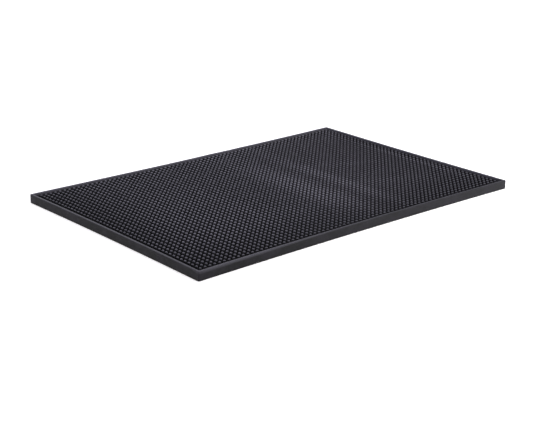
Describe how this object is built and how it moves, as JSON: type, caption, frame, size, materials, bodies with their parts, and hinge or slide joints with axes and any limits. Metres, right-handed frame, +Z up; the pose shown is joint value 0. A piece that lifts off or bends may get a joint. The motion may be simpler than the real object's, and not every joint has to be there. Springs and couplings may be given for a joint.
{
  "type": "bar mat",
  "caption": "Shallow rectangular moulded-rubber bar mat: a low raised rim round a floor covered with small round pegs on a square grid, lying flat.",
  "frame": {"origin": "middle of the flat underside", "axes": "+X along the mat's length, +Y across it from front to back, +Z up"},
  "size_m": [0.45, 0.3, 0.01],
  "materials": {
    "body_rubber": "matte moulded black rubber",
    "peg_rubber": "matte moulded black rubber, slightly polished on the peg tips"
  },
  "bodies": {
    "root": {"floor_sheet": "body_rubber", "rim_front": "body_rubber", "rim_back": "body_rubber", "rim_left": "body_rubber", "rim_right": "body_rubber", "peg_row_01": "peg_rubber", "peg_row_02": "peg_rubber", "peg_row_03": "peg_rubber", "peg_row_04": "peg_rubber", "peg_row_05": "peg_rubber", "peg_row_06": "peg_rubber", "peg_row_07": "peg_rubber", "peg_row_08": "peg_rubber", "peg_row_09": "peg_rubber", "peg_row_10": "peg_rubber", "peg_row_11": "peg_rubber", "peg_row_12": "peg_rubber", "peg_row_13": "peg_rubber", "peg_row_14": "peg_rubber", "peg_row_15": "peg_rubber", "peg_row_16": "peg_rubber", "peg_row_17": "peg_rubber", "peg_row_18": "peg_rubber", "peg_row_19": "peg_rubber", "peg_row_20": "peg_rubber", "peg_row_21": "peg_rubber", "peg_row_22": "peg_rubber", "peg_row_23": "peg_rubber", "peg_row_24": "peg_rubber", "peg_row_25": "peg_rubber", "peg_row_26": "peg_rubber", "peg_row_27": "peg_rubber", "peg_row_28": "peg_rubber", "peg_row_29": "peg_rubber", "peg_row_30": "peg_rubber", "peg_row_31": "peg_rubber", "peg_row_32": "peg_rubber", "peg_row_33": "peg_rubber", "peg_row_34": "peg_rubber", "peg_row_35": "peg_rubber", "peg_row_36": "peg_rubber", "peg_row_37": "peg_rubber", "peg_row_38": "peg_rubber", "peg_row_39": "peg_rubber", "peg_row_40": "peg_rubber", "peg_row_41": "peg_rubber", "peg_row_42": "peg_rubber", "peg_row_43": "peg_rubber", "peg_row_44": "peg_rubber", "peg_row_45": "peg_rubber", "peg_row_46": "peg_rubber", "peg_row_47": "peg_rubber", "peg_row_48": "peg_rubber"}
  },
  "joints": []
}
